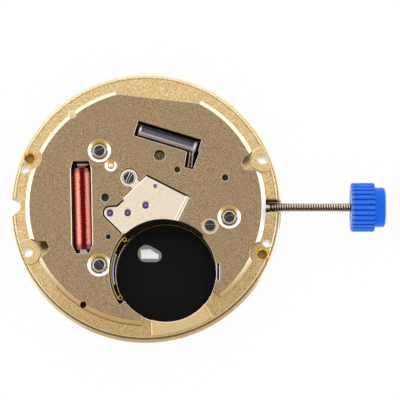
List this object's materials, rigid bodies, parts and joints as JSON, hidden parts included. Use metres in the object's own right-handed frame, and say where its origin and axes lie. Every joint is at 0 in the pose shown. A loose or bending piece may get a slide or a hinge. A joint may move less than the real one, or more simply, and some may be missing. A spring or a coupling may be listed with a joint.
{
  "type": "watch movement",
  "caption": "Round quartz watch movement with a gilt plate, coil, crystal, empty cell well, train bridge, date ring, stem and blue crown.",
  "frame": {"origin": "centre of the hand posts, in the plane of the dial seat", "axes": "+Z from the dial seat to the cover, along the hand posts' axis; +X along the stem to the crown"},
  "size_m": [0.0359, 0.026, 0.0057],
  "materials": {
    "gilt_brass": "gilt, fine bead-blasted",
    "cover_brass": "matte taupe-gold, bead-blasted",
    "bridge_brass": "pale gilt, satin",
    "wheel_brass": "polished",
    "ruby": "polished synthetic ruby",
    "blue_jewel": "polished synthetic sapphire",
    "dark_steel": "dark, polished",
    "steel": "satin",
    "bright_steel": "polished",
    "bush_brass": "polished",
    "soft_iron": "ground",
    "copper": "enamelled copper wire",
    "board": "glass-epoxy board",
    "black_plastic": "matte",
    "spring_gold": "gilt spring strip",
    "magnet": "sintered",
    "can_metal": "satin",
    "keeper_metal": "brushed",
    "printed_white": "printed, satin",
    "crown_blue": "moulded, semi-gloss"
  },
  "bodies": {
    "movement": {"main_plate": "gilt_brass", "cover_plate": "cover_brass", "train_bridge": "bridge_brass", "train_jewels": "ruby", "third_jewel": "blue_jewel", "plate_jewels": "ruby", "cover_screws": "dark_steel", "bridge_screw": "dark_steel", "locating_pins": "steel", "case_bushes": "bush_brass", "coil_core": "soft_iron", "coil_winding": "copper", "coil_terminals": "board", "stator": "soft_iron", "circuit_board": "board", "circuit_chip": "black_plastic", "trimmer": "spring_gold", "crystal_can": "can_metal", "crystal_leads": "steel", "well_insulator": "black_plastic", "minus_contact": "bright_steel", "plus_contact": "spring_gold", "contact_spring": "steel", "date_keeper": "keeper_metal", "keeper_screws": "dark_steel", "lever_spring": "steel"},
    "rotor": {"rotor_magnet": "magnet", "rotor_pinion": "steel"},
    "intermediate_wheel": {"intermediate_wheel": "wheel_brass"},
    "second_wheel": {"second_wheel": "wheel_brass"},
    "third_wheel": {"third_wheel": "wheel_brass"},
    "centre_wheel": {"centre_wheel": "wheel_brass"},
    "cannon_pinion": {"cannon_pinion": "steel"},
    "minute_wheel": {"minute_wheel": "wheel_brass"},
    "hour_wheel": {"hour_wheel": "wheel_brass"},
    "setting_wheel": {"setting_wheel": "steel"},
    "date_idler": {"date_idler": "wheel_brass"},
    "date_wheel": {"date_wheel": "wheel_brass"},
    "date_ring": {"date_ring": "printed_white"},
    "date_jumper": {"date_jumper": "steel"},
    "corrector": {"corrector": "steel"},
    "clutch_pinion": {"clutch_pinion": "steel"},
    "stem": {"stem": "dark_steel", "crown": "crown_blue"},
    "setting_lever": {"setting_lever": "steel"},
    "yoke": {"yoke": "steel"}
  },
  "joints": [
    {"name": "second_turn", "type": "hinge", "parent": "movement", "child": "second_wheel", "pos_m": [0, 0, 0.002], "axis": [0, 0, 1], "continuous": true},
    {"name": "rotor_turn", "type": "hinge", "parent": "movement", "child": "rotor", "pos_m": [-0.0034, -0.00074, 0.002], "axis": [0, 0, 1], "continuous": true},
    {"name": "intermediate_turn", "type": "hinge", "parent": "movement", "child": "intermediate_wheel", "pos_m": [-0.0017, -0.00073, 0.0017], "axis": [0, 0, 1], "continuous": true},
    {"name": "third_turn", "type": "hinge", "parent": "movement", "child": "third_wheel", "pos_m": [0.00092, 0.00185, 0.0018], "axis": [0, 0, 1], "continuous": true},
    {"name": "centre_turn", "type": "hinge", "parent": "movement", "child": "centre_wheel", "pos_m": [0, 0, 0.0014], "axis": [0, 0, 1], "continuous": true},
    {"name": "hour_turn", "type": "hinge", "parent": "movement", "child": "hour_wheel", "pos_m": [0, 0, 0.0005], "axis": [0, 0, 1], "continuous": true},
    {"name": "cannon_turn", "type": "hinge", "parent": "movement", "child": "cannon_pinion", "pos_m": [0, 0, 0.0008], "axis": [0, 0, 1], "continuous": true},
    {"name": "minute_turn", "type": "hinge", "parent": "movement", "child": "minute_wheel", "pos_m": [0.00169, 0.00062, 0.0008], "axis": [0, 0, 1], "continuous": true},
    {"name": "setting_turn", "type": "hinge", "parent": "movement", "child": "setting_wheel", "pos_m": [0.00398, 0.00022, 0.0008], "axis": [0, 0, 1], "continuous": true},
    {"name": "idler_turn", "type": "hinge", "parent": "movement", "child": "date_idler", "pos_m": [-0.00222, 0.00128, 0.00036], "axis": [0, 0, 1], "continuous": true},
    {"name": "date_wheel_turn", "type": "hinge", "parent": "movement", "child": "date_wheel", "pos_m": [-0.00562, 0.00219, 0.0003], "axis": [0, 0, 1], "continuous": true},
    {"name": "date_ring_turn", "type": "hinge", "parent": "movement", "child": "date_ring", "pos_m": [0, 0, 0.0002], "axis": [0, 0, 1], "continuous": true},
    {"name": "corrector_turn", "type": "hinge", "parent": "movement", "child": "corrector", "pos_m": [0.0079, -0.0022, 0.0003], "axis": [0, 0, 1], "continuous": true},
    {"name": "jumper_turn", "type": "hinge", "parent": "movement", "child": "date_jumper", "pos_m": [-0.0063, -0.0051, 0.0003], "axis": [0, 0, 1], "range_deg": [0, 5]},
    {"name": "clutch_turn", "type": "hinge", "parent": "movement", "child": "clutch_pinion", "pos_m": [0.0062, 0, 0.0015], "axis": [1, 0, 0], "continuous": true},
    {"name": "stem_pull", "type": "slide", "parent": "clutch_pinion", "child": "stem", "axis": [1, 0, 0], "range_m": [0, 0.0009]},
    {"name": "lever_turn", "type": "hinge", "parent": "movement", "child": "setting_lever", "pos_m": [0.0089, 0.0022, 0.0006], "axis": [0, 0, 1], "range_deg": [0, 24.15]},
    {"name": "yoke_turn", "type": "hinge", "parent": "movement", "child": "yoke", "pos_m": [0.0066, -0.0023, 0.0006], "axis": [0, 0, 1], "range_deg": [0, 7.9]}
  ],
  "couplings": [
    {"joint": "rotor_turn", "follows": "second_turn", "ratio": 30},
    {"joint": "intermediate_turn", "follows": "second_turn", "ratio": -4},
    {"joint": "third_turn", "follows": "second_turn", "ratio": -0.083333},
    {"joint": "centre_turn", "follows": "second_turn", "ratio": 0.016667},
    {"joint": "minute_turn", "follows": "hour_turn", "ratio": -4},
    {"joint": "cannon_turn", "follows": "hour_turn", "ratio": 12},
    {"joint": "setting_turn", "follows": "hour_turn", "ratio": 5.5385},
    {"joint": "idler_turn", "follows": "hour_turn", "ratio": -0.6},
    {"joint": "date_wheel_turn", "follows": "hour_turn", "ratio": 0.5},
    {"joint": "lever_turn", "follows": "stem_pull", "rad_per_m": 468.33},
    {"joint": "yoke_turn", "follows": "stem_pull", "rad_per_m": 153.2}
  ]
}
